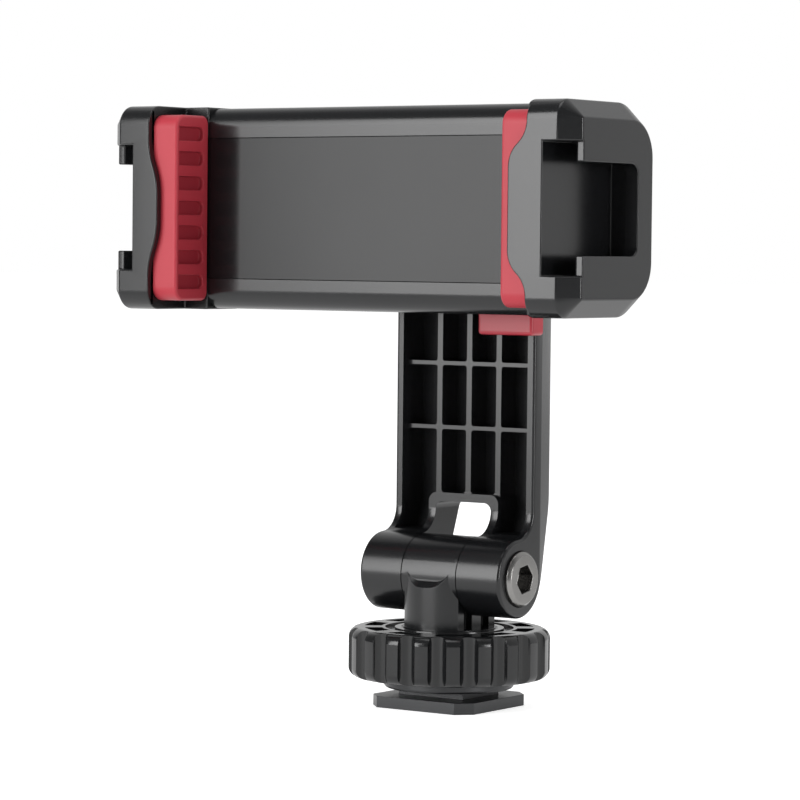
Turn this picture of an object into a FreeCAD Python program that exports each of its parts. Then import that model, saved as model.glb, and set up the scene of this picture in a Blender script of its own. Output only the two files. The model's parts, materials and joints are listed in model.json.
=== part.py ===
# Phone clamp on a tilting arm, for a tripod screw or an accessory shoe.
# Millimetres. The origin is the centre of the foot's underside, on the axis of the tripod thread.
# +Z is up, +X runs along the clamp towards its fixed jaw, and -Y is the side that the phone goes in.
import FreeCAD, Part
import math
import os

V = FreeCAD.Vector

# Foot, neck and tripod thread
foot_width = 18.6
foot_depth = 18.3
foot_thick = 1.75
foot_corner = 2.18
neck_width = 11.8
neck_depth = 10.0
tripod_core_r = 2.6
tripod_runout = 1.4
foot_screw_x = 4.1
foot_screw_y = 3.3
foot_screw_grip = 4.5

# Pressure ring and lock wheel
ring_r = 10.0
ring_thick = 1.6
ring_gap = 1.15
ring_edge = 0.3
wheel_r = 15.5
wheel_height = 7.6
wheel_edge = 1.5
wheel_lift = 2.0
grip_count = 20
grip_r = 1.45
grip_depth = 1.2
pocket_inner_wall = 3.3
pocket_outer_wall = 1.2
pocket_depth = 2.6
spoke_count = 10
spoke_thick = 2.6
hub_groove_in = 8.4
hub_groove_out = 9.9
hub_groove_depth = 0.5
bore_chamfer = 0.4

# Stem post and hinge
post_r = 7.1
knuckle_width = 9.9
knuckle_r = 6.05
knuckle_over_wheel = 0.11
neck_over_wheel = 0.3
saddle_drop = 1.65
saddle_angle = 42.0
saddle_depth = 2.5
saddle_ear = 0.15
saddle_corner = 3.4
flat_groove_near = 1.25
flat_groove_far = 3.45
flat_groove_depth = 1.2
fork_side_gap = 0.15
hinge_washer_r = 4.6
hinge_washer_thick = 0.6

# M5 hinge screw and nut, M2 and M4 small screws
m5_r = 2.5
m5_head_r = 4.25
m5_head = 5.0
m5_hex = 4.0
m5_hex_depth = 2.6
m5_hex_turn = -20.0
m5_head_proud = 0.9
m5_head_edge = 0.5
m5_tip_short = 0.5
m5_nut_width = 8.0
m5_nut_height = 4.0
m5_nut_wall = 2.23
m4_r = 2.0
m4_head_r = 3.6
m4_head = 2.0
m4_hex = 2.5
m2_r = 1.0
m2_head_r = 1.9
m2_head = 1.1
cross_width = 0.45
cross_depth = 0.7
cross_reach = 0.6

# Arm
arm_width = 25.6
arm_front = 3.46
arm_thick = 7.0
arm_rim = 1.3
arm_floor = 1.4
arm_flat_side = 2.1
arm_side_taper = 18.0
sweep_height = 9.9
back_bend_height = 10.8
back_bend_r = 9.0
window_height = 10.9
window_frame = 1.3
window_corner = 1.3
frame_corner = 1.4
cell_corner = 0.45
leg_pocket_height = 6.5
pocket_bend_drop = 0.5
arm_edge = 0.5
rib_thick = 0.93
rib_pitch = 5.45
rib_set_back = 1.3
cross_rib_thick = 0.6
cross_rib_first = 22.3
cross_rib_pitch = 9.95
cross_rib_count = 2

# Arm head, pivot and rotation lock
pivot_height = 55.84
web_thick = 3.14
hub_r = 5.9
pivot_washer_r = 8.0
pivot_washer_thick = 0.8
cap_flange = 1.0
cap_thick = 0.7
cap_edge = 0.5
turntable_r = 11.0
notch_count = 4
notch_width = 4.2
notch_depth = 2.0
turntable_screw_r = 7.8
turntable_skin = 0.8
lock_front_gap = 2.0
lock_left = 4.9
lock_tab_left = 4.3
lock_overhang = 1.4
lock_tab_drop = 5.8
lock_table_gap = 0.5
lock_plate_height = 2.2
lock_plate_gap = 0.1
lock_nose_gap = 0.2
lock_travel = 2.0
lock_tongue = 1.2
lock_tongue_reach = 2.5
lock_edge = 0.6
keeper_thick = 1.0
keeper_height = 3.6
keeper_inset = 0.8
keeper_tab_gap = 0.6
keeper_screw_inset = 1.9
keeper_screw_pitch = 3.3
keeper_head_r = 1.6
keeper_head = 0.8
keeper_screw_grip = 1.5

# Clamp: the panel is the face that the back of the phone lies on
jaw_front = -24.0
jaw_depth = 22.3
jaw_height = 31.4
jaw_bevel = 2.7
jaw_front_r = 3.0
jaw_back_r = 5.4
jaw_length = 12.94
jaw_seam = 0.2
panel_depth = 9.42
closed_left = -36.1
closed_right = 23.23
jaw_travel = 30.0
pad_recess = 1.2
pad_thick = 4.6
pad_height = 28.6
pad_corner = 2.2
pad_edge = 0.5
pad_back_corner = 1.3
pad_slot_count = 7
pad_slot_pitch = 3.8
pad_slot_height = 2.15
pad_slot_depth = 0.8
pad_slot_front = 0.8
pad_slot_back = 1.35
pad_slot_corner = 0.9
left_bulge = (2.9, 4.6, 4.2, 8.7)
right_bulge = (1.9, 5.0, 7.9, 10.8)
bulge_round = 0.45

# Accessory shoe slot in the outer end of each jaw
shoe_width = 19.3
shoe_mouth = 13.4
shoe_lip = 2.3
shoe_entry = 3.0
shoe_lead = 1.1
shoe_lead_run = 1.6
shoe_floor = 5.2
shoe_length = 19.0
shoe_corner = 1.8
shoe_mouth_short = 0.75

# Clamp body, slide plate and pull springs
body_height = 31.1
body_edge_r = 3.0
rail_lip = 1.2
slide_height = 21.7
slide_flange = 1.6
slide_thick = 2.5
slide_end = 6.0
floor_thick = 1.5
cavity_height = 20.5
end_wall = 1.2
cover_thick = 2.5
cover_edge = 1.2
cover_screw_inset = 3.4
cover_screw_grip = 4.0
jaw_screw_inset = 3.5
jaw_screw_height = 7.0
jaw_screw_head_room = 5.5
plate_skin = 0.3
pull_spring_height = 6.0
pull_spring_r = 2.2
pull_spring_wire = 0.5
pull_spring_turns = 26
post_screw_r = 1.1
post_head = 0.8
post_head_rim = 0.5
post_head_gap = 0.5
post_skin = 0.5
moving_post_x = -3.0
fixed_post_x = 19.0

# Clearances
running_gap = 0.05
slide_gap = 0.05
loose_gap = 0.1
screw_gap = 0.05
fit_gap = 0.02
screw_point_gap = 0.5

# How far a cutting shape runs past the face that it cuts
past = 1.0

# Heights and planes that follow from the sizes above
ring_low = foot_thick + ring_gap
wheel_low = ring_low + ring_thick
wheel_top = wheel_low + wheel_height
neck_top = wheel_low + wheel_lift + neck_over_wheel
hinge_z = wheel_top + wheel_lift + knuckle_over_wheel + knuckle_r
pivot_z = hinge_z + pivot_height
arm_half = arm_width / 2
arm_back = arm_front + arm_thick
fork_half = knuckle_width / 2 + fork_side_gap
web_back = arm_front + web_thick
jaw_back = jaw_front + jaw_depth
panel_y = jaw_front + panel_depth
slide_back = panel_y + slide_thick
floor_front = slide_back + slide_gap
cavity_front = floor_front + floor_thick
cover_front = jaw_back - cover_thick
body_left = closed_left - jaw_seam
body_right = closed_right + jaw_seam
lock_front = jaw_back + lock_front_gap
lock_back = arm_front - running_gap
lock_top = pivot_z - turntable_r - lock_travel - lock_plate_gap
lock_bottom = lock_top - lock_plate_height
keeper_top = pivot_z - turntable_r - lock_table_gap
keeper_bottom = keeper_top - keeper_height
head_low = keeper_bottom + loose_gap
spring_y = (cavity_front + cover_front) / 2


def box(x0, y0, z0, x1, y1, z1):
    """Block between two corners."""
    return Part.makeBox(x1 - x0, y1 - y0, z1 - z0, V(x0, y0, z0))


def rod(radius, start, end):
    """Cylinder from one point to another."""
    run = V(*end) - V(*start)
    return Part.makeCylinder(radius, run.Length, V(*start), run)


def prism(points, run):
    """Polygon carried along a vector."""
    corners = [V(*p) for p in points]
    return Part.Face(Part.makePolygon(corners + corners[:1])).extrude(V(*run))


def hexagon(width, centre, run):
    """Hexagonal bar with two of its points up and down when it runs along X."""
    axis = V(*run)
    round_r = width / math.sqrt(3)
    side = V(0, 0, 1) if abs(axis.z) < axis.Length / 2 else V(1, 0, 0)
    across = axis.cross(side).normalize()
    turns = [math.radians(60 * i) for i in range(6)]
    ring = [V(*centre) + side * (round_r * math.cos(t)) + across * (round_r * math.sin(t)) for t in turns]
    return Part.Face(Part.makePolygon(ring + ring[:1])).extrude(axis)


def fuse(shapes):
    """One solid from several that meet."""
    return shapes[0].multiFuse(shapes[1:]).removeSplitter()


def round_edges(solid, radius, wanted):
    """Fillet of the straight edges that a test picks by their two ends."""
    edges = [e for e in solid.Edges if len(e.Vertexes) == 2 and wanted(e.Vertexes[0].Point, e.Vertexes[1].Point)]
    return solid.makeFillet(radius, edges)


def flat_head_screw(radius, head_r, head, length, top, direction):
    """Countersunk screw with a cross recess. The head's flat top is at the point top."""
    way = V(*direction)
    start = V(*top)
    shank = Part.makeCylinder(radius, length, start, way)
    cone = Part.makeCone(head_r, radius, head, start, way)
    screw = fuse([cone, shank])
    side = V(1, 0, 0) if abs(way.x) < 0.5 else V(0, 0, 1)
    for bar in (side, way.cross(side)):
        across = way.cross(bar)
        corners = [bar * (a * head_r * cross_reach) + across * (b * cross_width / 2)
                   for a, b in ((-1, -1), (1, -1), (1, 1), (-1, 1))]
        points = [start + c for c in corners]
        screw = screw.cut(Part.Face(Part.makePolygon(points + points[:1])).extrude(way * cross_depth))
    return screw


def flat_head_hole(radius, head_r, head, length, top, direction):
    """Clearance hole for a countersunk screw."""
    way = V(*direction)
    start = V(*top)
    hole = Part.makeCylinder(radius + screw_gap, length, start, way)
    return hole.fuse(Part.makeCone(head_r + screw_gap, radius + screw_gap, head, start, way))


def coil(radius, wire, turns, length):
    """Helical spring along +Z from the origin, with its wire's centre line between the ends."""
    path = Part.makeHelix(length / turns, length, radius)
    section = Part.Wire(Part.makeCircle(wire / 2, V(radius, 0, 0), V(0, 1, 0)))
    return Part.Wire(path.Edges).makePipeShell([section], True, True)


def foot_screw_places():
    return [(a * foot_screw_x, b * foot_screw_y) for a in (-1, 1) for b in (-1, 1)]


def shoe_foot():
    """Square foot plate and neck in one piece of aluminium, tapped through for the tripod screw."""
    plate = box(-foot_width / 2, -foot_depth / 2, 0, foot_width / 2, foot_depth / 2, foot_thick)
    corners = [e for e in plate.Edges if abs(e.Vertexes[0].Z - e.Vertexes[1].Z) > foot_thick / 2]
    plate = plate.makeChamfer(foot_corner, corners)
    neck = box(-neck_width / 2, -neck_depth / 2, 0, neck_width / 2, neck_depth / 2, neck_top)
    foot = fuse([plate, neck]).cut(rod(tripod_core_r, (0, 0, 0), (0, 0, neck_top)))
    for x, y in foot_screw_places():
        foot = foot.cut(flat_head_hole(m2_r, m2_head_r, m2_head, neck_top, (x, y, 0), (0, 0, 1)))
    return foot


def foot_screws():
    """Four countersunk screws that hold the foot under the post."""
    length = neck_top + foot_screw_grip
    return [flat_head_screw(m2_r, m2_head_r, m2_head, length, (x, y, 0), (0, 0, 1))
            for x, y in foot_screw_places()]


def stem_post():
    """Moulded post with its thread for the wheel, two grooved flats and the centre knuckle of the hinge."""
    half = knuckle_width / 2
    inner = half - saddle_ear
    top = hinge_z + knuckle_r / 2
    low = rod(post_r, (0, 0, neck_top), (0, 0, wheel_top + loose_gap))
    high = rod(post_r, (0, 0, neck_top), (0, 0, top))
    high = high.common(box(-half, -post_r, neck_top, half, post_r, top + past))

    # Front and back are cut away over a sloping bowl, so that the knuckle shows
    slope = math.tan(math.radians(saddle_angle))
    ledge = hinge_z - saddle_drop
    for side in (-1, 1):
        outer_y, inner_y = side * (post_r + past), side * (post_r - saddle_depth)
        outer_z, inner_z = ledge - past * slope, ledge + saddle_depth * slope
        saddle = prism([(-inner, outer_y, outer_z), (-inner, inner_y, inner_z), (-inner, inner_y, top + past),
                        (-inner, outer_y, top + past)], (2 * inner, 0, 0))
        saddle = round_edges(saddle, saddle_corner, lambda a, b: abs(a.x - b.x) < 0.01
                             and min(a.z, b.z) < outer_z + 0.01 and max(a.z, b.z) < inner_z + 0.01)
        high = high.cut(saddle)
    post = fuse([low, high, rod(knuckle_r, (-half, 0, hinge_z), (half, 0, hinge_z))])
    post = post.cut(rod(m5_r + running_gap, (-half, 0, hinge_z), (half, 0, hinge_z)))
    post = post.cut(rod(tripod_core_r, (0, 0, neck_top), (0, 0, neck_top + tripod_runout)))
    groove_top = hinge_z - hinge_washer_r - 2 * loose_gap
    for side in (-1, 1):
        for way in (-1, 1):
            x0, x1 = sorted((side * (half - flat_groove_depth), side * (half + past)))
            y0, y1 = sorted((way * flat_groove_near, way * flat_groove_far))
            post = post.cut(box(x0, y0, wheel_top + loose_gap, x1, y1, groove_top))
    for x, y in foot_screw_places():
        end = neck_top + foot_screw_grip + loose_gap
        post = post.cut(rod(m2_r + screw_gap, (x, y, neck_top), (x, y, end)))
    return post


def pressure_ring():
    """Flat ring that the wheel pushes down on the shoe. Its square hole keeps it from turning."""
    ring = rod(ring_r, (0, 0, ring_low), (0, 0, wheel_low))
    half_x = neck_width / 2 + loose_gap
    half_y = neck_depth / 2 + loose_gap
    ring = ring.cut(box(-half_x, -half_y, ring_low, half_x, half_y, wheel_low))
    rims = [e for e in ring.Edges if isinstance(e.Curve, Part.Circle)]
    return ring.makeChamfer(ring_edge, rims)


def lock_wheel():
    """Knurled wheel with an internal thread, scalloped rim and ten pockets in its top."""
    wheel = rod(wheel_r, (0, 0, wheel_low), (0, 0, wheel_top))
    rims = [e for e in wheel.Edges if isinstance(e.Curve, Part.Circle)]
    wheel = wheel.makeFillet(wheel_edge, rims)
    centre = wheel_r - grip_depth + grip_r
    for i in range(grip_count):
        turn = math.radians(360 * (i + 0.5) / grip_count)
        x, y = centre * math.cos(turn), centre * math.sin(turn)
        wheel = wheel.cut(rod(grip_r, (x, y, wheel_low - past), (x, y, wheel_top + past)))
    pocket_in = post_r + running_gap + pocket_inner_wall
    pocket_out = wheel_r - grip_depth - pocket_outer_wall
    pocket_floor = wheel_top - pocket_depth
    pockets = rod(pocket_out, (0, 0, pocket_floor), (0, 0, wheel_top))
    pockets = pockets.cut(rod(pocket_in, (0, 0, pocket_floor), (0, 0, wheel_top)))
    for i in range(spoke_count):
        spoke = box(0, -spoke_thick / 2, pocket_floor, wheel_r, spoke_thick / 2, wheel_top)
        spoke.rotate(V(0, 0, 0), V(0, 0, 1), 360 * i / spoke_count)
        pockets = pockets.cut(spoke)
    groove = rod(hub_groove_out, (0, 0, wheel_top - hub_groove_depth), (0, 0, wheel_top))
    groove = groove.cut(rod(hub_groove_in, (0, 0, wheel_top - hub_groove_depth), (0, 0, wheel_top)))
    bore_r = post_r + running_gap
    lead = Part.makeCone(bore_r, bore_r + bore_chamfer, bore_chamfer, V(0, 0, wheel_top - bore_chamfer))
    neck_swing = math.hypot(neck_width, neck_depth) / 2 + loose_gap
    neck_room = neck_top + ring_gap + loose_gap
    wheel = wheel.cut(rod(neck_swing, (0, 0, wheel_low), (0, 0, neck_room)))
    return wheel.cut(pockets).cut(groove).cut(lead).cut(rod(bore_r, (0, 0, wheel_low), (0, 0, wheel_top)))


def arm_outline():
    """Side outline of the arm: the barrel, the front sweep, the rim plane and the bent back."""
    sweep_r = (arm_front ** 2 + sweep_height ** 2 - knuckle_r ** 2) / (2 * (arm_front + knuckle_r))
    centre = V(0, arm_front - sweep_r, hinge_z + sweep_height)
    touch = V(0, 0, hinge_z) + (centre - V(0, 0, hinge_z)).normalize() * knuckle_r
    turn = math.radians(-45)
    middle = centre + V(0, math.cos(turn), math.sin(turn)) * sweep_r
    reach = math.hypot(arm_back, back_bend_height)
    angle = math.atan2(back_bend_height, arm_back) - math.acos(knuckle_r / reach)
    tangent = V(0, knuckle_r * math.cos(angle), hinge_z + knuckle_r * math.sin(angle))
    bend = V(0, arm_back, hinge_z + back_bend_height)
    rim_low = V(0, arm_front, hinge_z + sweep_height)
    rim_top = V(0, arm_front, pivot_z)
    back_top = V(0, arm_back, pivot_z)
    around = V(0, -knuckle_r * math.cos(math.radians(40)), hinge_z - knuckle_r * math.sin(math.radians(40)))
    edges = [Part.LineSegment(rim_top, rim_low), Part.Arc(rim_low, middle, touch),
             Part.Arc(touch, around, tangent), Part.LineSegment(tangent, bend),
             Part.LineSegment(bend, back_top), Part.LineSegment(back_top, rim_top)]
    return Part.Face(Part.Wire([e.toShape() for e in edges]))


def leg_pocket(x0, x1, top):
    """Hollow between two walls of the arm, with a floor that follows the bent back."""
    slope = (arm_back - knuckle_r) / back_bend_height
    floor_y = arm_back - arm_floor
    bend_z = hinge_z + back_bend_height - pocket_bend_drop
    low_z = hinge_z + leg_pocket_height
    low_y = floor_y - (bend_z - low_z) * slope
    return prism([(x0, -post_r, low_z), (x0, low_y, low_z), (x0, floor_y, bend_z), (x0, floor_y, top),
                  (x0, -post_r, top)], (x1 - x0, 0, 0))


def arm_ribs(pocket_top):
    """Three upright ribs and two cross ribs, set back behind the rim."""
    front = arm_front + rib_set_back
    back = arm_back - arm_floor
    low = hinge_z + window_height
    inside = arm_half - arm_rim
    ribs = [box(x - rib_thick / 2, front, low, x + rib_thick / 2, back, pocket_top)
            for x in (-rib_pitch, 0, rib_pitch)]
    for i in range(cross_rib_count):
        z = hinge_z + cross_rib_first + i * cross_rib_pitch
        ribs.append(box(-inside, front, z - cross_rib_thick / 2, inside, back, z + cross_rib_thick / 2))
    return ribs


def keeper_screw_places():
    z = (keeper_bottom + keeper_top) / 2
    return [(-lock_left - keeper_screw_inset - keeper_screw_pitch * i, z) for i in range(2)]


def arm_frame():
    """Moulded arm: two hinge legs, ribbed blade and the round head with its bore and the latch's slot."""
    blade = arm_outline().extrude(V(arm_width, 0, 0))
    blade.translate(V(-arm_half, 0, 0))
    blade = round_edges(blade, back_bend_r, lambda a, b: abs(a.z - hinge_z - back_bend_height) < 0.01
                        and abs(b.z - a.z) < 0.01 and abs(a.y - arm_back) < 0.01 and abs(b.y - a.y) < 0.01)
    sides = [e for e in blade.Edges if all(abs(abs(v.X) - arm_half) < 0.001 for v in e.Vertexes)
             and e.BoundBox.YMin < arm_front + 0.01 and min(v.Z for v in e.Vertexes) < pivot_z - 1
             and max(v.Y for v in e.Vertexes) < knuckle_r]
    blade = blade.makeFillet(arm_edge, sides)
    head = rod(arm_half, (0, arm_front, pivot_z), (0, arm_back, pivot_z))
    rims = [e for e in head.Edges if isinstance(e.Curve, Part.Circle) and e.Vertexes[0].Y < arm_front + 1]
    arm = fuse([blade, head.makeFillet(arm_edge, rims)])

    # The rear part of each side leans inwards
    taper_y = arm_front + arm_flat_side
    lean = (arm_back - taper_y) * math.tan(math.radians(arm_side_taper))
    for side in (-1, 1):
        x = side * arm_half
        wedge = prism([(x, taper_y, 0), (x - side * lean, arm_back, 0), (x + side, arm_back, 0),
                       (x + side, taper_y, 0)], (0, 0, pivot_z))
        arm = arm.cut(wedge)
    ring = Part.makeCone(arm_half, arm_half - lean, arm_back - taper_y, V(0, taper_y, pivot_z), V(0, 1, 0))
    upper = box(-arm_width, taper_y, pivot_z, arm_width, arm_back, pivot_z + arm_width)
    arm = arm.cut(upper.cut(ring))

    # Fork gap, with rounded corners at its top
    window_top = hinge_z + window_height
    gap = box(-fork_half, -post_r - past, 0, fork_half, arm_back + past, window_top)
    gap = round_edges(gap, window_corner, lambda a, b: a.z > window_top - 0.01 and b.z > window_top - 0.01
                      and abs(a.y - b.y) > arm_thick)
    arm = arm.cut(gap)

    # Hollows of the blade and legs, less the frame of the window and the ribs
    inside = arm_half - arm_rim
    hollow = leg_pocket(-inside, inside, head_low)
    frame_half = fork_half + window_frame
    frame_top = window_top + window_frame
    frame = box(-frame_half, -post_r - past, 0, frame_half, arm_back + past, frame_top)
    frame = round_edges(frame, frame_corner,
                        lambda a, b: a.z > frame_top - 0.01 and b.z > frame_top - 0.01
                        and abs(a.y - b.y) > arm_thick)
    hollow = hollow.cut(frame)
    for rib in arm_ribs(head_low):
        hollow = hollow.cut(rib)
    deep = arm_thick - arm_floor - rib_set_back
    corners = [e for e in hollow.Edges if len(e.Vertexes) == 2 and abs(e.BoundBox.YLength - deep) < 0.01
               and e.BoundBox.XLength < 0.01 and e.BoundBox.ZLength < 0.01]
    arm = arm.cut(hollow.makeFillet(cell_corner, corners))

    # Hinge: screw head and nut seats, screw hole and washer seats
    end = arm_half
    arm = arm.cut(rod(m5_r + screw_gap, (-end, 0, hinge_z), (end, 0, hinge_z)))
    seat = end + m5_head_proud - m5_head
    arm = arm.cut(rod(m5_head_r + loose_gap, (seat, 0, hinge_z), (end, 0, hinge_z)))
    nut_seat = nut_face()
    arm = arm.cut(hexagon(m5_nut_width + 2 * screw_gap, (-end, 0, hinge_z), (end - nut_seat, 0, 0)))
    for side in (-1, 1):
        start = (side * fork_half, 0, hinge_z)
        stop = (side * (fork_half + washer_seat_depth()), 0, hinge_z)
        arm = arm.cut(rod(hinge_washer_r + loose_gap, start, stop))

    # Head: pivot bore, rear recess, slot for the latch's tongue and the boss under the keeper
    arm = arm.cut(rod(hub_r + running_gap, (0, arm_front, pivot_z), (0, arm_back, pivot_z)))
    arm = arm.cut(rod(recess_r(), (0, web_back, pivot_z), (0, arm_back, pivot_z)))
    half = tongue_half() + running_gap
    arm = arm.cut(box(-half, arm_front, tongue_low() - running_gap, half, lock_back + lock_tongue_reach
                      + 2 * loose_gap, lock_top + lock_travel + loose_gap))
    boss = box(-arm_half + keeper_inset, lock_front - running_gap, keeper_bottom, -lock_left - loose_gap,
               arm_front + past, keeper_top)
    arm = fuse([arm, boss])
    for x, z in keeper_screw_places():
        arm = arm.cut(rod(m2_r + screw_gap, (x, lock_front - past, z),
                           (x, arm_front + keeper_screw_grip + screw_point_gap, z)))
    return arm


def nut_face():
    """Distance from the centre of the hinge to the face that the nut bears on."""
    return fork_half + washer_seat_depth() + m5_nut_wall


def washer_seat_depth():
    return hinge_washer_thick - fork_side_gap + fit_gap


def recess_r():
    return pivot_washer_r + 6 * loose_gap


def tongue_half():
    return notch_width / 2 - 3 * loose_gap


def tongue_low():
    return lock_top - lock_tongue


def hinge_screw():
    """M5 by 20 socket head screw that is the hinge's axle. Its tip ends inside the nut."""
    top = arm_half + m5_head_proud
    seat = top - m5_head
    head = rod(m5_head_r, (seat, 0, hinge_z), (top, 0, hinge_z))
    outer = [e for e in head.Edges if isinstance(e.Curve, Part.Circle) and e.Vertexes[0].X > seat + 1]
    head = head.makeChamfer(m5_head_edge, outer)
    tip = -nut_face() - m5_nut_height + m5_tip_short
    shank = rod(m5_r, (tip, 0, hinge_z), (seat, 0, hinge_z))
    screw = fuse([head, shank])
    socket = hexagon(m5_hex, (top - m5_hex_depth, 0, hinge_z), (m5_hex_depth, 0, 0))
    socket.rotate(V(0, 0, hinge_z), V(1, 0, 0), m5_hex_turn)
    return screw.cut(socket)


def hinge_nut():
    """M5 hexagon nut, held from turning in the left leg."""
    face = -nut_face()
    nut = hexagon(m5_nut_width, (face - m5_nut_height, 0, hinge_z), (m5_nut_height, 0, 0))
    return nut.cut(rod(m5_r + fit_gap, (face - m5_nut_height, 0, hinge_z), (face, 0, hinge_z)))


def hinge_washers():
    """Two friction washers, one in each leg, against the faces of the centre knuckle."""
    washers = []
    for side in (-1, 1):
        inner = knuckle_width / 2 + fit_gap
        start = (side * inner, 0, hinge_z)
        stop = (side * (inner + hinge_washer_thick), 0, hinge_z)
        washer = rod(hinge_washer_r, start, stop)
        washers.append(washer.cut(rod(m5_r + fit_gap, start, stop)))
    return washers


def turntable():
    """Notched disc behind the clamp, with the hub that turns in the arm's head."""
    disc = rod(turntable_r, (0, jaw_back, pivot_z), (0, lock_back, pivot_z))
    for i in range(notch_count):
        notch = box(-notch_width / 2, jaw_back, -turntable_r - past, notch_width / 2, lock_back,
                    -turntable_r + notch_depth)
        notch.rotate(V(0, 0, 0), V(0, 1, 0), 360 * i / notch_count)
        notch.translate(V(0, 0, pivot_z))
        disc = disc.cut(notch)
    hub = rod(hub_r, (0, lock_back, pivot_z), (0, web_back + loose_gap, pivot_z))
    table = fuse([disc, hub]).cut(rod(m4_r + screw_gap, (0, jaw_back, pivot_z), (0, arm_back, pivot_z)))
    for x, z in turntable_screw_places():
        table = table.cut(rod(m2_r + screw_gap, (x, jaw_back, z), (x, lock_back - turntable_skin, z)))
    return table


def turntable_screw_places():
    step = turntable_screw_r * math.cos(math.radians(45))
    return [(a * step, pivot_z + b * step) for a in (-1, 1) for b in (-1, 1)]


def turntable_screws():
    """Four countersunk screws from inside the clamp into the turntable."""
    length = lock_back - turntable_skin - 2 * loose_gap - cover_front
    return [flat_head_screw(m2_r, m2_head_r, m2_head, length, (x, cover_front, z), (0, 1, 0))
            for x, z in turntable_screw_places()]


def pivot_washer():
    """Large washer that holds the hub in the arm's head."""
    face = web_back + loose_gap
    washer = rod(pivot_washer_r, (0, face, pivot_z), (0, face + pivot_washer_thick, pivot_z))
    return washer.cut(rod(m4_r + screw_gap, (0, face, pivot_z), (0, face + pivot_washer_thick, pivot_z)))


def pivot_screw():
    """M4 socket screw down the middle of the hub."""
    seat = web_back + loose_gap + pivot_washer_thick
    head = rod(m4_head_r, (0, seat, pivot_z), (0, seat + m4_head, pivot_z))
    shank = rod(m4_r, (0, jaw_back + loose_gap, pivot_z), (0, seat, pivot_z))
    hole = hexagon(m4_hex, (0, seat + m4_head / 3, pivot_z), (0, m4_head, 0))
    return fuse([head, shank]).cut(hole)


def head_cap():
    """Domed cap pressed into the recess at the back of the arm's head."""
    flange_r = recess_r() + cap_flange
    flange = rod(flange_r, (0, arm_back, pivot_z), (0, arm_back + cap_thick, pivot_z))
    outer = [e for e in flange.Edges if isinstance(e.Curve, Part.Circle) and e.Vertexes[0].Y > arm_back + 0.1]
    flange = flange.makeFillet(cap_edge, outer)
    plug_depth = arm_back - (web_back + 2 * loose_gap + pivot_washer_thick + m4_head)
    plug = rod(recess_r() - fit_gap, (0, arm_back - plug_depth, pivot_z), (0, arm_back, pivot_z))
    return fuse([flange, plug])


def rotation_lock():
    """Red latch, shown open: a plate with a finger tab, a nose under a notch and a guide tongue."""
    right = arm_half + lock_overhang
    tab_low = lock_top - lock_tab_drop
    plate = box(-lock_left, lock_front, lock_bottom, right, lock_back, lock_top)
    tab = box(lock_tab_left, lock_front, tab_low, right, lock_back, lock_top)
    tab = round_edges(tab, lock_edge, lambda a, b: max(a.z, b.z) < tab_low + 0.01 and abs(a.y - b.y) > 1)
    nose_half = notch_width / 2 - loose_gap
    nose_top = pivot_z - turntable_r - lock_nose_gap
    nose = box(-nose_half, lock_front, lock_bottom, nose_half, lock_back, nose_top)
    half = tongue_half()
    tongue = box(-half, lock_front, tongue_low(), half, lock_back + lock_tongue_reach, lock_top)
    lock = fuse([plate, tab, nose, tongue])
    return round_edges(lock, lock_edge, lambda a, b: min(a.x, b.x) > right - 0.01 and a.y < lock_front + 0.01
                       and b.y < lock_front + 0.01 and abs(a.z - b.z) > 1)


def lock_keeper():
    """Small steel strap across the latch plate that keeps it against the arm."""
    back = lock_front - running_gap
    strap = box(-arm_half + keeper_inset, back - keeper_thick, keeper_bottom, lock_tab_left - keeper_tab_gap, back,
                keeper_top)
    for x, z in keeper_screw_places():
        strap = strap.cut(flat_head_hole(m2_r, keeper_head_r, keeper_head, keeper_thick + past,
                                         (x, back - keeper_thick, z), (0, 1, 0)))
    return strap


def keeper_screws():
    """Two countersunk screws in the keeper."""
    top = lock_front - running_gap - keeper_thick
    length = arm_front + keeper_screw_grip - top
    return [flat_head_screw(m2_r, keeper_head_r, keeper_head, length, (x, top, z), (0, 1, 0))
            for x, z in keeper_screw_places()]


def jaw_ring(x, half, front, front_r):
    """Outline of a jaw, across the clamp, at one place along it."""
    bend = math.sqrt(0.5)

    def corner(y, radius, inward, side):
        centre_y = y + inward * radius
        centre_z = pivot_z + side * (half - radius)
        middle = V(x, centre_y - inward * radius * bend, centre_z + side * radius * bend)
        return V(x, y, centre_z), middle, V(x, centre_y, pivot_z + side * half)

    top_front = corner(front, front_r, 1, 1)
    top_back = corner(jaw_back, jaw_back_r, -1, 1)
    low_front = corner(front, front_r, 1, -1)
    low_back = corner(jaw_back, jaw_back_r, -1, -1)
    edges = [Part.Arc(*top_front), Part.LineSegment(top_front[2], top_back[2]), Part.Arc(*top_back[::-1]),
             Part.LineSegment(top_back[0], low_back[0]), Part.Arc(*low_back),
             Part.LineSegment(low_back[2], low_front[2]), Part.Arc(*low_front[::-1]),
             Part.LineSegment(low_front[0], top_front[0])]
    return Part.Wire([e.toShape() for e in edges])


def flange_cut(bulge):
    """What is cut from the thin front flange, so that its inner edge bulges over the pad."""
    low, high, flat, full = bulge
    tall = jaw_height / 2 + past
    start = jaw_front - past
    side = [(high, tall), (high, full), (low, flat), (low, -flat), (high, -full), (high, -tall)]
    points = [(-jaw_length, start, pivot_z + tall)] + [(u, start, pivot_z + z) for u, z in side]
    points.append((-jaw_length, start, pivot_z - tall))
    cut = prism(points, (0, past + pad_recess, 0))
    run = math.hypot(high - low, full - flat)
    turn = math.atan2(high - low, full - flat)
    radius = bulge_round * min(run, 2 * flat) / math.tan(turn / 2)
    return round_edges(cut, radius, lambda a, b: abs(a.y - b.y) > pad_recess / 2 and a.x > 0
                       and abs(a.z - pivot_z) < full + 0.01)


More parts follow.
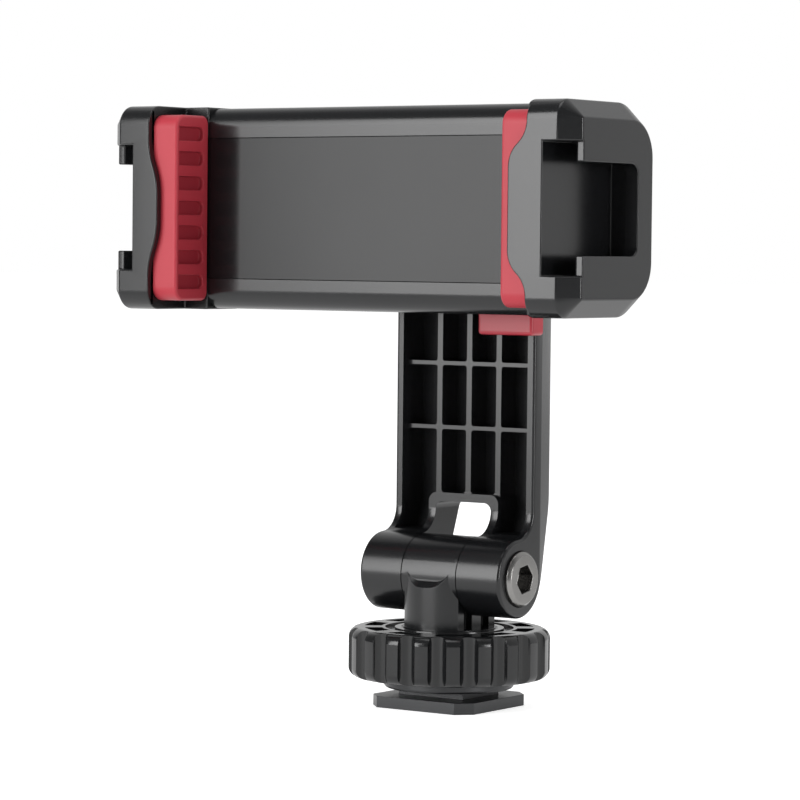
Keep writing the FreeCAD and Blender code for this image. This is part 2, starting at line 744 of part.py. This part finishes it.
def jaw_block(bulge):
    """Jaw before it is placed: X runs outwards from the pad's face, which is at zero."""
    half = jaw_height / 2
    tip_x = jaw_length - jaw_bevel
    block = Part.Face(jaw_ring(jaw_seam, half, jaw_front, jaw_front_r)).extrude(V(tip_x - jaw_seam, 0, 0))
    wide = jaw_ring(tip_x, half, jaw_front, jaw_front_r)
    narrow = jaw_ring(jaw_length, half - jaw_bevel, jaw_front + jaw_bevel, jaw_front_r - jaw_bevel)
    jaw = fuse([block, Part.makeLoft([wide, narrow], True, True)])

    # Seat of the pad behind the flange, and the flange's bulged edge
    jaw = jaw.cut(box(0, jaw_front + pad_recess - fit_gap, pivot_z - jaw_height, pad_thick + fit_gap, panel_y,
                      pivot_z + jaw_height))
    jaw = jaw.cut(flange_cut(bulge))

    # Shoe slot: wide under the lips, narrow between them, with a lead-in at the front
    floor_x = jaw_length - shoe_floor
    lip_x = jaw_length - shoe_lip
    wide_half, mouth_half = shoe_width / 2, shoe_mouth / 2
    front = jaw_front - past
    jaw = jaw.cut(box(floor_x, front, pivot_z - wide_half, lip_x, jaw_front + shoe_length,
                      pivot_z + wide_half))
    end = jaw_front + shoe_length - shoe_mouth_short
    mouth = box(lip_x - past, front, pivot_z - mouth_half, jaw_length + past, end, pivot_z + mouth_half)
    mouth = round_edges(mouth, shoe_corner, lambda a, b: a.y > end - 0.01 and b.y > end - 0.01
                        and abs(a.x - b.x) > 1)
    jaw = jaw.cut(mouth)
    lip_y = jaw_front + shoe_entry
    jaw = jaw.cut(box(lip_x - past, front, pivot_z - wide_half, jaw_length + past, lip_y, pivot_z + wide_half))
    jaw = jaw.cut(prism([(lip_x - past, lip_y - past, pivot_z - wide_half),
                         (lip_x + shoe_lead, lip_y - past, pivot_z - wide_half),
                         (lip_x + shoe_lead, lip_y, pivot_z - wide_half),
                         (lip_x, lip_y + shoe_lead_run, pivot_z - wide_half),
                         (lip_x - past, lip_y + shoe_lead_run, pivot_z - wide_half)], (0, 0, shoe_width)))

    # Socket for the end of the slide plate, with two screws from the back
    reach = slide_height / 2 + slide_gap
    jaw = jaw.cut(box(0, panel_y - past, pivot_z - reach, jaw_seam + slide_end + loose_gap, slide_back + slide_gap,
                      pivot_z + reach))
    for z in jaw_screw_heights():
        jaw = jaw.cut(rod(m2_head_r + loose_gap, (jaw_screw_inset, jaw_back - jaw_screw_head_room, z),
                          (jaw_screw_inset, jaw_back, z)))
        jaw = jaw.cut(flat_head_hole(m2_r, m2_head_r, m2_head, jaw_back - jaw_screw_head_room - slide_back,
                                     (jaw_screw_inset, jaw_back - jaw_screw_head_room, z), (0, -1, 0)))
    return jaw


def pad_block():
    """Rubber pad before it is placed, with its row of shallow grip recesses."""
    front = jaw_front + pad_recess
    back = panel_y - 2 * slide_gap
    half = pad_height / 2
    pad = box(0, front, pivot_z - half, pad_thick, back, pivot_z + half)
    pad = round_edges(pad, pad_corner, lambda a, b: abs(a.x - b.x) > 1 and a.y < front + 0.01)
    pad = round_edges(pad, pad_back_corner, lambda a, b: abs(a.x - b.x) > 1 and a.y > back - 0.01)
    rim = [e for e in pad.Edges if all(abs(v.X) < 0.001 for v in e.Vertexes)]
    pad = pad.makeFillet(pad_edge, rim)
    for i in range(pad_slot_count):
        z = pivot_z + (i - (pad_slot_count - 1) / 2) * pad_slot_pitch
        slot = box(-past, front + pad_slot_front, z - pad_slot_height / 2, pad_slot_depth, back - pad_slot_back,
                   z + pad_slot_height / 2)
        end = back - pad_slot_back
        slot = round_edges(slot, pad_slot_corner, lambda a, b: abs(a.x - b.x) > 1
                           and a.y > end - 0.01)
        pad = pad.cut(slot)
    return pad


def jaw_screw_heights():
    return (pivot_z - jaw_screw_height, pivot_z + jaw_screw_height)


def jaw_screws():
    """Two screws that hold a jaw on the plate that enters it, before they are placed."""
    top = jaw_back - jaw_screw_head_room
    length = top - panel_y - plate_skin - loose_gap
    return [flat_head_screw(m2_r, m2_head_r, m2_head, length, (jaw_screw_inset, top, z), (0, -1, 0))
            for z in jaw_screw_heights()]


def on_right(shapes):
    """Places jaw pieces at the fixed end."""
    placed = [s.copy() for s in shapes]
    for shape in placed:
        shape.translate(V(closed_right, 0, 0))
    return placed


def on_left(shapes):
    """Mirrors jaw pieces and places them at the moving end, closed."""
    placed = [s.mirror(V(0, 0, 0), V(1, 0, 0)) for s in shapes]
    for shape in placed:
        shape.translate(V(closed_left, 0, 0))
    return placed


def slide_plate():
    """Flush panel that carries the moving jaw, with a flange along each side under the rails."""
    half = slide_height / 2
    right = closed_right - 3 * loose_gap
    plate = box(body_left - slide_end, panel_y, pivot_z - half, right, slide_back, pivot_z + half)
    wide = half + slide_flange
    flange = box(body_left, panel_y + rail_lip + slide_gap, pivot_z - wide, right, slide_back, pivot_z + wide)
    plate = fuse([plate, flange])
    for z in jaw_screw_heights():
        x = closed_left - jaw_screw_inset
        plate = plate.cut(rod(m2_r + screw_gap, (x, panel_y + plate_skin, z), (x, slide_back, z)))
    for z in pull_spring_heights():
        plate = plate.cut(rod(post_screw_r + screw_gap, (moving_post_x, panel_y + post_skin, z),
                              (moving_post_x, slide_back, z)))
    return plate


def pull_spring_heights():
    return (pivot_z - pull_spring_height, pivot_z + pull_spring_height)


def post_screws():
    """Two shoulder screws in the slide plate. They carry the springs and stop the travel."""
    head_y = spring_y + pull_spring_wire + post_head_gap
    screws = []
    for z in pull_spring_heights():
        shank = rod(post_screw_r, (moving_post_x, panel_y + post_skin + loose_gap, z), (moving_post_x, head_y, z))
        head = rod(post_screw_r + post_head_rim, (moving_post_x, head_y, z),
                   (moving_post_x, head_y + post_head, z))
        screws.append(fuse([shank, head]))
    return screws


def cover_screw_places():
    z = (cavity_height + body_height) / 4
    x = cover_screw_inset
    return [(side_x, pivot_z + b * z) for side_x in (body_left + x, body_right - x) for b in (-1, 1)]


def clamp_body():
    """Moulded channel: two rails, the floor that the plate slides on and the spring space behind it."""
    half = body_height / 2
    body = box(body_left, panel_y, pivot_z - half, body_right, cover_front, pivot_z + half)
    body = round_edges(body, body_edge_r, lambda a, b: abs(a.x - b.x) > 1 and a.y < panel_y + 0.01)
    reach = slide_height / 2 + slide_gap
    stop = closed_right - 2 * loose_gap
    body = body.cut(box(body_left - past, panel_y - past, pivot_z - reach, stop, floor_front, pivot_z + reach))
    wide = reach + slide_flange
    body = body.cut(box(body_left - past, panel_y + rail_lip, pivot_z - wide, stop, floor_front, pivot_z + wide))
    tongue = box(stop, panel_y, pivot_z - reach + slide_gap, body_right + slide_end, slide_back,
                 pivot_z + reach - slide_gap)
    body = fuse([body, tongue])
    deep = cavity_height / 2
    body = body.cut(box(body_left + end_wall, cavity_front, pivot_z - deep, body_right - end_wall, cover_front,
                        pivot_z + deep))
    slot = post_screw_r + 2 * loose_gap
    for z in pull_spring_heights():
        body = body.cut(box(moving_post_x - jaw_travel - slot, floor_front - past, z - slot,
                            moving_post_x + slot, cavity_front + past, z + slot))
        body = fuse([body, rod(post_screw_r, (fixed_post_x, cavity_front - floor_thick / 2, z),
                               (fixed_post_x, spring_y + 2 * pull_spring_wire, z))])
    for z in jaw_screw_heights():
        x = closed_right + jaw_screw_inset
        body = body.cut(rod(m2_r + screw_gap, (x, panel_y + plate_skin, z), (x, slide_back, z)))
    for x, z in cover_screw_places():
        body = body.cut(rod(m2_r + screw_gap, (x, cover_front - cover_screw_grip - screw_point_gap, z),
                             (x, cover_front, z)))
    return body


def back_cover():
    """Flat cover behind the spring space, which carries the turntable."""
    half = body_height / 2
    cover = box(body_left, cover_front, pivot_z - half, body_right, jaw_back, pivot_z + half)
    edges = [e for e in cover.Edges if abs(e.Vertexes[0].X - e.Vertexes[1].X) > 1
             and e.Vertexes[0].Y > jaw_back - 0.01]
    cover = cover.makeChamfer(cover_edge, edges)
    for x, z in turntable_screw_places():
        cover = cover.cut(flat_head_hole(m2_r, m2_head_r, m2_head, cover_thick, (x, cover_front, z), (0, 1, 0)))
    for x, z in cover_screw_places():
        cover = cover.cut(flat_head_hole(m2_r, m2_head_r, m2_head, cover_thick, (x, jaw_back, z), (0, -1, 0)))
    return cover


def cover_screws():
    """Four countersunk screws through the back cover into the channel."""
    return [flat_head_screw(m2_r, m2_head_r, m2_head, cover_thick + cover_screw_grip, (x, jaw_back, z), (0, -1, 0))
            for x, z in cover_screw_places()]


def pull_spring(z):
    """Extension spring between a post on the slide plate and a post in the channel."""
    loop_r = post_screw_r + pull_spring_wire
    start = moving_post_x + loop_r
    length = fixed_post_x - loop_r - start
    winding_r = pull_spring_r - pull_spring_wire / 2
    winding = coil(winding_r, pull_spring_wire, pull_spring_turns, length)
    winding.rotate(V(0, 0, 0), V(0, 1, 0), 90)
    winding.translate(V(start, spring_y, z))
    pieces = [winding]
    for post_x, end_x in ((moving_post_x, start), (fixed_post_x, start + length)):
        pieces.append(Part.makeTorus(loop_r, pull_spring_wire / 2, V(post_x, spring_y, z), V(0, 1, 0)))
        pieces.append(rod(pull_spring_wire / 2, (end_x, spring_y, z - winding_r),
                          (end_x, spring_y, z + pull_spring_wire)))
    return fuse(pieces)


def nodes():
    """Every piece by name. Like fasteners share one name as separate solids."""
    right_jaw = on_right([jaw_block(right_bulge), pad_block()] + jaw_screws())
    left_jaw = on_left([jaw_block(left_bulge), pad_block()] + jaw_screws())
    low_spring, high_spring = [pull_spring(z) for z in pull_spring_heights()]
    return {
        "shoe_foot": [shoe_foot()],
        "foot_screws": foot_screws(),
        "stem_post": [stem_post()],
        "pressure_ring": [pressure_ring()],
        "lock_wheel": [lock_wheel()],
        "arm_frame": [arm_frame()],
        "hinge_screw": [hinge_screw()],
        "hinge_nut": [hinge_nut()],
        "hinge_washers": hinge_washers(),
        "head_cap": [head_cap()],
        "rotation_lock": [rotation_lock()],
        "lock_keeper": [lock_keeper()],
        "keeper_screws": keeper_screws(),
        "turntable": [turntable()],
        "turntable_screws": turntable_screws(),
        "pivot_washer": [pivot_washer()],
        "pivot_screw": [pivot_screw()],
        "clamp_body": [clamp_body()],
        "back_cover": [back_cover()],
        "cover_screws": cover_screws(),
        "fixed_jaw": right_jaw[:1],
        "fixed_pad": right_jaw[1:2],
        "fixed_jaw_screws": right_jaw[2:],
        "moving_jaw": left_jaw[:1],
        "moving_pad": left_jaw[1:2],
        "moving_jaw_screws": left_jaw[2:],
        "slide_plate": [slide_plate()],
        "post_screws": post_screws(),
        "lower_pull_spring": [low_spring],
        "upper_pull_spring": [high_spring],
    }


def main():
    os.makedirs("parts", exist_ok=True)
    for name, solids in nodes().items():
        shape = solids[0] if len(solids) == 1 else Part.makeCompound(solids)
        shape.exportStep("parts/" + name + ".step")
        print(name, len(shape.Solids), shape.isValid(), round(shape.Volume, 2))


main()
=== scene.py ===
import bpy
import json
import math
from mathutils import Matrix, Vector

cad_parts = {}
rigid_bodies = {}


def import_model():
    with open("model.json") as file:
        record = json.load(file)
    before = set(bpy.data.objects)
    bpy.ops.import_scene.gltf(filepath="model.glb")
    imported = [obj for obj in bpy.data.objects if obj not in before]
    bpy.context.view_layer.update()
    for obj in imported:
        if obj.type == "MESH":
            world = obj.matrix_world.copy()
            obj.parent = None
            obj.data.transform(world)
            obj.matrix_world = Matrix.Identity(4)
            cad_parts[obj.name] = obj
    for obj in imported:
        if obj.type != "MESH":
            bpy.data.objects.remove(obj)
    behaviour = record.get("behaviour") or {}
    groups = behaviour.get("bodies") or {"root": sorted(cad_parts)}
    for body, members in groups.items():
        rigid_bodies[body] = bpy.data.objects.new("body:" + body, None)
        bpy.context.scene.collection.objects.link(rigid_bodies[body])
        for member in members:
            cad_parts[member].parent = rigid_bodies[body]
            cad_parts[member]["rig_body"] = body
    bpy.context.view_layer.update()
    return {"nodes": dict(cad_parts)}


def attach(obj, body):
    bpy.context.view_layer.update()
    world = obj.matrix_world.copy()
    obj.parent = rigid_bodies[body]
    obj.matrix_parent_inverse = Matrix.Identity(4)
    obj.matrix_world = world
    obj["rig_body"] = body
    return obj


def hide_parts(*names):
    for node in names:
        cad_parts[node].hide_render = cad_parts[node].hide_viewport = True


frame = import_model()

# The camera stands a little above the object's middle and to the right of its front, half a metre
# away, with a long lens. Its place was solved from the edges of the foot, the arm and the clamp.
camera_data = bpy.data.cameras.new("camera")
camera_data.sensor_fit = "HORIZONTAL"
camera_data.sensor_width = 36.0
camera_data.lens = 156.3
camera_data.clip_start = 0.01
camera = bpy.data.objects.new("camera", camera_data)
bpy.context.scene.collection.objects.link(camera)
yaw, pitch, roll = (math.radians(a) for a in (34.606, 2.506, 0.596))
ahead = Vector((-math.sin(yaw) * math.cos(pitch), math.cos(yaw) * math.cos(pitch),
                -math.sin(pitch)))
level = Vector((math.cos(yaw), math.sin(yaw), 0.0))
upward = level.cross(ahead)
across = level * math.cos(roll) + upward * math.sin(roll)
upright = upward * math.cos(roll) - level * math.sin(roll)
camera.matrix_world = Matrix.Translation((0.295836, -0.442770, 0.070260)) @ Matrix(
    (across, upright, -ahead)).transposed().to_4x4()
bpy.context.scene.camera = camera
bpy.context.scene.view_settings.view_transform = "Standard"

# The table is a plain white sheet in a room that is white behind the object and dark in front of
# it, so that black parts keep their shape. Shiny parts mirror a bright sheet close by and far
# behind, and the camera sees all of it as white.
bpy.ops.object.select_all(action="DESELECT")
bpy.ops.mesh.primitive_plane_add(size=12.0, location=(0, 0, -0.00002))
table = bpy.context.object
table.name = "table_sheet"
bpy.ops.object.transform_apply(location=True, rotation=False, scale=False)
sheet = bpy.data.materials.new("table_white")
sheet.use_nodes = True
paper = sheet.node_tree.nodes["Principled BSDF"]
paper.inputs["Base Color"].default_value = (0.82, 0.82, 0.82, 1)
paper.inputs["Roughness"].default_value = 0.9
paper.inputs["Specular IOR Level"].default_value = 0.0
paper.inputs["Emission Color"].default_value = (1, 1, 1, 1)
seen = sheet.node_tree.nodes.new("ShaderNodeLightPath")
spot = sheet.node_tree.nodes.new("ShaderNodeTexCoord")
reach = sheet.node_tree.nodes.new("ShaderNodeVectorMath")
reach.operation = "LENGTH"
sheet.node_tree.links.new(spot.outputs["Object"], reach.inputs[0])
split = sheet.node_tree.nodes.new("ShaderNodeSeparateXYZ")
sheet.node_tree.links.new(spot.outputs["Object"], split.inputs[0])


def ramp(tree, source, start, stop, first, last):
    """A value that goes smoothly from first to last while its source goes from start to stop."""
    step = tree.nodes.new("ShaderNodeMapRange")
    step.interpolation_type = "SMOOTHSTEP"
    values = {"From Min": start, "From Max": stop, "To Min": first, "To Max": last}
    for key, value in values.items():
        step.inputs[key].default_value = value
    tree.links.new(source, step.inputs["Value"])
    return step.outputs["Result"]


def sums(tree, operation, *sources):
    """One Math node fed by sockets or plain numbers."""
    step = tree.nodes.new("ShaderNodeMath")
    step.operation = operation
    for socket, source in zip(step.inputs, sources):
        if isinstance(source, float):
            socket.default_value = source
        else:
            tree.links.new(source, socket)
    return step.outputs[0]


near_glow = ramp(sheet.node_tree, reach.outputs["Value"], start=0.08, stop=0.35, first=0.5, last=0.0)
far_glow = ramp(sheet.node_tree, split.outputs["Y"], start=0.8, stop=1.6, first=0.0, last=0.7)
glow = sums(sheet.node_tree, "ADD", near_glow, far_glow)
mirrored = sums(sheet.node_tree, "MULTIPLY", seen.outputs["Is Glossy Ray"], glow)
lift = sums(sheet.node_tree, "MULTIPLY_ADD", seen.outputs["Is Camera Ray"], 0.75, mirrored)
sheet.node_tree.links.new(lift, paper.inputs["Emission Strength"])
table.data.materials.append(sheet)

room = bpy.data.worlds.new("white_room")
bpy.context.scene.world = room
room.use_nodes = True
walls = room.node_tree.nodes["Background"]
walls.inputs["Color"].default_value = (1, 1, 1, 1)
way = room.node_tree.nodes.new("ShaderNodeTexCoord")
parts = room.node_tree.nodes.new("ShaderNodeSeparateXYZ")
room.node_tree.links.new(way.outputs["Generated"], parts.inputs[0])
kind = room.node_tree.nodes.new("ShaderNodeLightPath")
behind = ramp(room.node_tree, parts.outputs["Y"], start=-0.15, stop=0.60, first=0.22, last=0.78)
clear = sums(room.node_tree, "MAXIMUM",
             kind.outputs["Is Camera Ray"], kind.outputs["Is Transmission Ray"])
room.node_tree.links.new(sums(room.node_tree, "MAXIMUM", behind, clear), walls.inputs["Strength"])


def soft_light(name, place, wide, tall, power):
    """A rectangular area light that faces the middle of the object."""
    lamp = bpy.data.lights.new(name, "AREA")
    lamp.shape = "RECTANGLE"
    lamp.size = wide
    lamp.size_y = tall
    lamp.energy = power
    holder = bpy.data.objects.new(name, lamp)
    bpy.context.scene.collection.objects.link(holder)
    holder.location = place
    aim = Vector((0, 0, 0.05)) - Vector(place)
    holder.rotation_euler = aim.to_track_quat("-Z", "Y").to_euler()


soft_light("tall_softbox_left", (-0.34, -0.88, 0.26), wide=0.62, tall=0.72, power=9.5)
soft_light("strip_light_right", (0.92, -0.10, 0.12), wide=0.20, tall=0.60, power=3.6)
soft_light("overhead_softbox", (0.10, -0.10, 0.95), wide=0.60, tall=0.60, power=2.2)


# The foot is milled from aluminium and anodised black, a square plate with clipped corners and a
# short neck. Four blackened countersunk screws come up through it into the post.
class Reading:
    """What one socket gives. Arithmetic on it adds the nodes for it."""

    def __init__(self, finish, socket):
        self.finish = finish
        self.socket = socket

    def sum_with(self, operation, first, second):
        return self.finish.node("ShaderNodeMath", {"operation": operation}, {0: first, 1: second})

    def __add__(self, other):
        return self.sum_with("ADD", self, other)

    __radd__ = __add__

    def __sub__(self, other):
        return self.sum_with("SUBTRACT", self, other)

    def __rsub__(self, other):
        return self.sum_with("SUBTRACT", other, self)

    def __mul__(self, other):
        return self.sum_with("MULTIPLY", self, other)

    __rmul__ = __mul__

    def __gt__(self, other):
        return self.sum_with("GREATER_THAN", self, other)


class Finish:
    """A material in the making. node() adds any node and gives back one of its sockets."""

    def __init__(self, name, **fixed):
        self.material = bpy.data.materials.new(name)
        self.material.use_nodes = True
        self.tree = self.material.node_tree
        self.shader = self.tree.nodes["Principled BSDF"]
        for socket, value in fixed.items():
            self.shader.inputs[socket.replace("_", " ")].default_value = value
        self.place = self.node("ShaderNodeTexCoord", out="Object")

    def node(self, kind, settings={}, sockets={}, out=0):
        made = self.tree.nodes.new(kind)
        for name, value in settings.items():
            setattr(made, name, value)
        for key, value in sockets.items():
            if isinstance(value, Reading):
                self.tree.links.new(value.socket, made.inputs[key])
            else:
                made.inputs[key].default_value = value
        return Reading(self, made.outputs[out])

    def grain(self, size, detail=2.0, stretch=(1, 1, 1)):
        """Noise whose spots are about size metres across."""
        place = self.node("ShaderNodeMapping", {}, {"Vector": self.place, "Scale": stretch})
        return self.node("ShaderNodeTexNoise", {},
                         {"Vector": place, "Scale": 0.5 / size, "Detail": detail})

    def between(self, share, dark, light):
        return self.node("ShaderNodeMix", {"data_type": "RGBA"},
                         {0: share, 6: (*dark, 1), 7: (*light, 1)}, out=2)

    def bumps(self, height, strength, distance):
        return self.node("ShaderNodeBump", {},
                         {"Height": height, "Strength": strength, "Distance": distance})

    def feed(self, **links):
        """Links readings to the shader and gives back the finished material."""
        for socket, reading in links.items():
            self.tree.links.new(reading.socket, self.shader.inputs[socket.replace("_", " ")])
        return self.material


def softened(node, edge, material, clamped=True):
    """Replaces a CAD node by a copy with its faces joined up and its edges rounded by edge metres."""
    bpy.ops.object.select_all(action="DESELECT")
    cad = frame["nodes"][node]
    piece = bpy.data.objects.new(node + "_finished", cad.data.copy())
    bpy.context.scene.collection.objects.link(piece)
    piece.select_set(True)
    bpy.context.view_layer.objects.active = piece
    bpy.ops.object.mode_set(mode="EDIT")
    bpy.ops.mesh.select_all(action="SELECT")
    bpy.ops.mesh.remove_doubles(threshold=0.000002)
    bpy.ops.mesh.dissolve_limited(angle_limit=math.radians(0.6), delimit=set())
    bpy.ops.object.mode_set(mode="OBJECT")
    if piece.data.has_custom_normals:
        bpy.ops.mesh.customdata_custom_splitnormals_clear()
    rounding = piece.modifiers.new("rounding", "BEVEL")
    rounding.width = edge
    rounding.segments = 3
    rounding.limit_method = "ANGLE"
    rounding.angle_limit = math.radians(28)
    rounding.use_clamp_overlap = clamped
    bpy.ops.object.modifier_apply(modifier="rounding")
    bpy.ops.object.shade_smooth_by_angle(angle=math.radians(35))
    flatten = piece.modifiers.new("flatten", "WEIGHTED_NORMAL")
    flatten.weight = 100
    flatten.keep_sharp = True
    bpy.ops.object.modifier_apply(modifier="flatten")
    piece.data.materials.clear()
    piece.data.materials.append(material)
    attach(piece, cad["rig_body"])
    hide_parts(node)


def dress(material, *nodes):
    """Gives CAD nodes that stay as they are a finish."""
    for node in nodes:
        for held in frame["nodes"][node].material_slots:
            held.material = material


def anodised(name):
    finish = Finish(name, Metallic=0.55, Specular_IOR_Level=0.6)
    haze = finish.grain(0.006)
    grit = finish.grain(0.00012, 1.0)
    tone = haze * 0.7 + grit * 0.3
    return finish.feed(
        Base_Color=finish.between(tone, (0.030, 0.031, 0.033), (0.055, 0.056, 0.058)),
        Roughness=0.24 + haze * 0.10 + grit * 0.06,
        Normal=finish.bumps(grit, 0.12, 0.00002))


def blackened(name):
    finish = Finish(name, Metallic=0.9)
    haze = finish.grain(0.0008)
    return finish.feed(
        Base_Color=finish.between(haze, (0.035, 0.035, 0.037), (0.08, 0.079, 0.078)),
        Roughness=0.28 + haze * 0.2)


black_anodising = anodised("black_anodising")
black_screws = blackened("blackened_screws")
softened("shoe_foot", 0.00015, black_anodising)
dress(black_screws, "foot_screws")

# The pressure ring is a flat turned ring, anodised like the foot. It rides up and down on the neck
# and clamps a shoe from above.
softened("pressure_ring", 0.00010, black_anodising)


# The wheel is moulded in glossy black plastic with twenty finger scallops, a chamfer at both ends
# and a spoked dish in its top. A thread in its bore runs on the post.
def moulded(name, dark, light, roughness, relief, shine=0.5):
    """Black plastic: a fine eroded texture from the mould, and faint broad changes of sheen."""
    finish = Finish(name, Specular_IOR_Level=shine)
    cloud = finish.grain(0.012, 3.0)
    grain = finish.grain(0.00022, 2.0)
    return finish.feed(
        Base_Color=finish.between(cloud * 0.6 + grain * 0.4, dark, light),
        Roughness=roughness - 0.04 + cloud * 0.06 + grain * 0.02,
        Normal=finish.bumps(grain, relief, 0.00003))


wheel_black = moulded("wheel_black", (0.004, 0.0044, 0.005), (0.009, 0.0094, 0.010), 0.18, 0.02)
softened("lock_wheel", 0.00018, wheel_black)

# The post is glass-filled nylon, turned round below and flattened on two sides above, with the
# centre knuckle of the hinge across its top.
nylon = moulded("black_nylon", (0.005, 0.0054, 0.006), (0.010, 0.0105, 0.0115), 0.23, 0.04)
softened("stem_post", 0.00016, nylon)

# The arm is one nylon moulding: two hinge legs, a blade hollowed from the front between its rims
# and ribs, and a round head at the top for the turntable.
softened("arm_frame", 0.00013, nylon)


# The hinge is a nickel-plated M5 socket screw and nut, with a dark friction washer in each leg.
def plated(name):
    finish = Finish(name, Metallic=1.0)
    turned = finish.grain(0.0001, 2.0, (6, 0.6, 0.6))
    haze = finish.grain(0.002)
    return finish.feed(
        Base_Color=finish.between(haze, (0.21, 0.207, 0.200), (0.30, 0.294, 0.286)),
        Roughness=0.16 + turned * 0.12 + haze * 0.06,
        Normal=finish.bumps(turned, 0.10, 0.00001))


nickel = plated("nickel_plate")
softened("hinge_screw", 0.00012, nickel)
dress(nickel, "hinge_nut", "pivot_washer", "pivot_screw")
dress(black_screws, "hinge_washers")


# The rotation latch is red plastic with a finger tab. A blackened steel keeper and two screws hold
# it to the arm. Pushed up, its nose enters a notch of the turntable.
def red_plastic(name):
    finish = Finish(name, Specular_IOR_Level=0.5)
    cloud = finish.grain(0.006, 2.0)
    grain = finish.grain(0.0002)
    return finish.feed(
        Base_Color=finish.between(cloud, (0.42, 0.028, 0.045), (0.50, 0.036, 0.055)),
        Roughness=0.26 + cloud * 0.08 + grain * 0.05,
        Normal=finish.bumps(grain, 0.08, 0.00002))


softened("rotation_lock", 0.00022, red_plastic("latch_red"))
softened("lock_keeper", 0.00010, black_screws)
dress(black_screws, "keeper_screws")

# The turntable is a notched nylon disc behind the clamp. Its hub turns in the arm's head on an M4
# screw and washer, under a pressed-in cap.
softened("turntable", 0.00012, nylon)
softened("head_cap", 0.00012, nylon)
dress(black_screws, "turntable_screws")

# The clamp body is a nylon channel with two rails and a flat cover screwed on behind it.
softened("clamp_body", 0.00012, nylon)
softened("back_cover", 0.00012, nylon)
dress(black_screws, "cover_screws")

# The slide plate lies flush between the rails and carries the moving jaw. Two screws in it and
# two bright pull springs behind the floor draw it shut.
panel_black = moulded("panel_black", (0.004, 0.0044, 0.005), (0.008, 0.0084, 0.009), 0.17, 0.004,
                      shine=0.24)
softened("slide_plate", 0.00018, panel_black)
dress(black_screws, "post_screws")
dress(plated("spring_wire"), "lower_pull_spring", "upper_pull_spring")

# The jaws are nylon blocks with a thin front flange over the pad and a shoe slot in the outer end.
# Each is held by two countersunk screws from behind.
softened("fixed_jaw", 0.00022, nylon, clamped=False)
softened("moving_jaw", 0.00022, nylon, clamped=False)
dress(black_screws, "fixed_jaw_screws", "moving_jaw_screws")


# The pads are red silicone rubber, moulded with seven shallow grip recesses in the face towards
# the phone. The recesses are painted a darker red as painted shade, where less light reaches in.
def red_rubber(name):
    finish = Finish(name, Specular_IOR_Level=0.4)
    cloud = finish.grain(0.005, 3.0)
    dust = finish.grain(0.00015, 2.0)
    middle_x, middle_z, half_gap = -0.006435, 0.0761, 0.029665
    recess_front, recess_reach, recess_start = -0.0222, 0.0127, 0.0003
    x, y, z = (finish.node("ShaderNodeSeparateXYZ", {}, {0: finish.place}, out=axis)
               for axis in range(3))
    depth = finish.node("ShaderNodeMath", {"operation": "ABSOLUTE"}, {0: x - middle_x}) - half_gap
    aside = finish.node("ShaderNodeMath", {"operation": "ABSOLUTE"}, {0: z - middle_z})
    # Mask of the grip recesses, where painted shade darkens the red.
    recess_painted_shade = (depth > recess_start) * (y > recess_front) * (1 - (aside > recess_reach))
    unshaded_red = finish.between(cloud * 0.7 + dust * 0.3, (0.41, 0.028, 0.044), (0.48, 0.039, 0.057))
    # Outside the recesses the rubber keeps its own red; inside them painted shade mixes in a darker
    # red.
    return finish.feed(
        Base_Color=finish.node("ShaderNodeMix", {"data_type": "RGBA"},
                               {0: recess_painted_shade, 6: unshaded_red, 7: (0.34, 0.022, 0.036, 1)}, out=2),
        Roughness=0.42 + cloud * 0.08 + dust * 0.06,
        Normal=finish.bumps(dust, 0.15, 0.00003))


pad_red = red_rubber("pad_red")
softened("fixed_pad", 0.00014, pad_red, clamped=False)
softened("moving_pad", 0.00014, pad_red, clamped=False)
